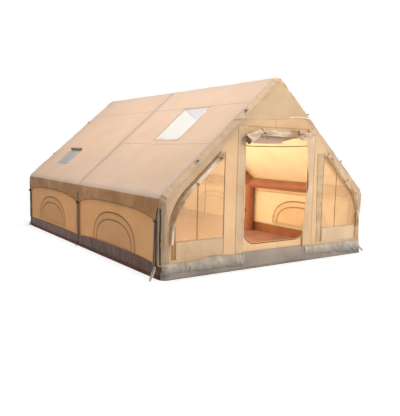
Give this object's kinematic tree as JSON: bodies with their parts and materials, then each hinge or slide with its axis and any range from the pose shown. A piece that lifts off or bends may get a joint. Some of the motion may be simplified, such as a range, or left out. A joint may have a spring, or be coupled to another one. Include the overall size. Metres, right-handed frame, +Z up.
{
  "type": "inflatable tent",
  "caption": "Ridge-roofed inflatable tent: air arches and beams under a sewn canvas shell, with a tray floor, rolled-up door and folding side windows.",
  "frame": {"origin": "middle of the tent on the ground: the middle of the bounding box's bottom face", "axes": "+Z up, -Y out of the door gable, +X to the right for someone who faces the door"},
  "size_m": [3.7908, 5.3214, 2.5336],
  "materials": {
    "canvas_roof": "matte woven cotton blend",
    "canvas_gable": "matte woven cotton blend",
    "canvas_wall": "matte woven cotton blend",
    "canvas_band": "matte woven cotton blend",
    "sleeve_cloth": "tight woven polyester sleeve",
    "air_film": "thin soft plastic film",
    "groundsheet_cloth": "coated woven cloth",
    "skirt_cloth": "creased coated cloth",
    "window_screen": "light translucent cloth",
    "mesh": "fine insect mesh",
    "webbing": "woven webbing",
    "clear_film": "clear film",
    "jack_cloth": "coated heatproof cloth",
    "dark_plastic": "moulded plastic",
    "steel": "zinc-plated wire"
  },
  "bodies": {
    "tent": {"door_roll": "canvas_gable", "front_air_tube": "air_film", "front_arch_cover": "canvas_band", "front_arch_sleeve": "sleeve_cloth", "front_gable_flap": "canvas_gable", "front_left_eave_beam": "sleeve_cloth", "front_left_skirt": "skirt_cloth", "front_panel": "canvas_gable", "front_ridge_beam": "sleeve_cloth", "front_right_eave_beam": "sleeve_cloth", "front_right_skirt": "skirt_cloth", "groundsheet": "groundsheet_cloth", "inflation_valve": "dark_plastic", "left_door_tie": "webbing", "left_front_strap": "webbing", "left_front_window_mesh": "mesh", "left_middle_strap": "webbing", "left_rear_strap": "webbing", "left_rear_window_mesh": "mesh", "left_roof": "canvas_roof", "left_shutter_roll": "canvas_gable", "left_skylight": "clear_film", "left_wall": "canvas_wall", "left_window_screen": "window_screen", "mesh_door_roll": "mesh", "middle_air_tube": "air_film", "middle_arch_sleeve": "sleeve_cloth", "rear_air_tube": "air_film", "rear_arch_cover": "canvas_band", "rear_arch_sleeve": "sleeve_cloth", "rear_left_eave_beam": "sleeve_cloth", "rear_panel": "canvas_gable", "rear_ridge_beam": "sleeve_cloth", "rear_right_eave_beam": "sleeve_cloth", "relief_valve": "dark_plastic", "right_door_tie": "webbing", "right_front_strap": "webbing", "right_front_window_mesh": "mesh", "right_middle_strap": "webbing", "right_rear_strap": "webbing", "right_rear_window_mesh": "mesh", "right_roof": "canvas_roof", "right_shutter_roll": "canvas_gable", "right_skylight": "clear_film", "right_wall": "canvas_wall", "right_window_screen": "window_screen", "stove_jack_flap": "webbing", "stove_jack_patch": "jack_cloth"},
    "left_front_window_flap": {"left_front_window_flap": "canvas_wall"},
    "left_rear_window_flap": {"left_rear_window_flap": "canvas_wall"},
    "right_front_window_flap": {"right_front_window_flap": "canvas_wall"},
    "right_rear_window_flap": {"right_rear_window_flap": "canvas_wall"},
    "left_door_slider": {"left_door_slider": "dark_plastic"},
    "right_door_slider": {"right_door_slider": "dark_plastic"},
    "left_front_ring": {"left_front_ring": "steel"},
    "left_rear_ring": {"left_rear_ring": "steel"},
    "right_front_ring": {"right_front_ring": "steel"},
    "right_rear_ring": {"right_rear_ring": "steel"},
    "valve_cap": {"valve_cap": "dark_plastic"},
    "valve_poppet": {"valve_poppet": "steel"}
  },
  "joints": [
    {"name": "left_front_flap_fold", "type": "hinge", "parent": "tent", "child": "left_front_window_flap", "pos_m": [-1.8, -1.20457, 0.2236], "axis": [0, -1, 0], "range_deg": [0, 112]},
    {"name": "left_rear_flap_fold", "type": "hinge", "parent": "tent", "child": "left_rear_window_flap", "pos_m": [-1.8, 1.31042, 0.2236], "axis": [0, -1, 0], "range_deg": [0, 112]},
    {"name": "right_front_flap_fold", "type": "hinge", "parent": "tent", "child": "right_front_window_flap", "pos_m": [1.8, -1.20457, 0.2236], "axis": [0, 1, 0], "range_deg": [0, 112]},
    {"name": "right_rear_flap_fold", "type": "hinge", "parent": "tent", "child": "right_rear_window_flap", "pos_m": [1.8, 1.31042, 0.2236], "axis": [0, 1, 0], "range_deg": [0, 112]},
    {"name": "left_zip_slide", "type": "slide", "parent": "tent", "child": "left_door_slider", "axis": [0, 0, -1], "range_m": [0, 0.95]},
    {"name": "right_zip_slide", "type": "slide", "parent": "tent", "child": "right_door_slider", "axis": [0, 0, -1], "range_m": [0, 0.95]},
    {"name": "left_front_ring_swing", "type": "hinge", "parent": "tent", "child": "left_front_ring", "pos_m": [-1.8107, -2.41708, 0.715], "axis": [0, 1, 0], "range_deg": [0, 165]},
    {"name": "left_rear_ring_swing", "type": "hinge", "parent": "tent", "child": "left_rear_ring", "pos_m": [-1.8107, 2.52292, 0.715], "axis": [0, 1, 0], "range_deg": [0, 165]},
    {"name": "right_front_ring_swing", "type": "hinge", "parent": "tent", "child": "right_front_ring", "pos_m": [1.8107, -2.41708, 0.715], "axis": [0, -1, 0], "range_deg": [0, 165]},
    {"name": "right_rear_ring_swing", "type": "hinge", "parent": "tent", "child": "right_rear_ring", "pos_m": [1.8107, 2.52292, 0.715], "axis": [0, -1, 0], "range_deg": [0, 165]},
    {"name": "valve_cap_turn", "type": "hinge", "parent": "tent", "child": "valve_cap", "pos_m": [1.6147, 2.56792, 0.4], "axis": [-1, 0, 0], "range_deg": [0, 270]},
    {"name": "valve_poppet_push", "type": "slide", "parent": "tent", "child": "valve_poppet", "axis": [1, 0, 0], "range_m": [0, 0.004], "stiffness_N_per_m": 300, "springref_m": -0.003}
  ]
}
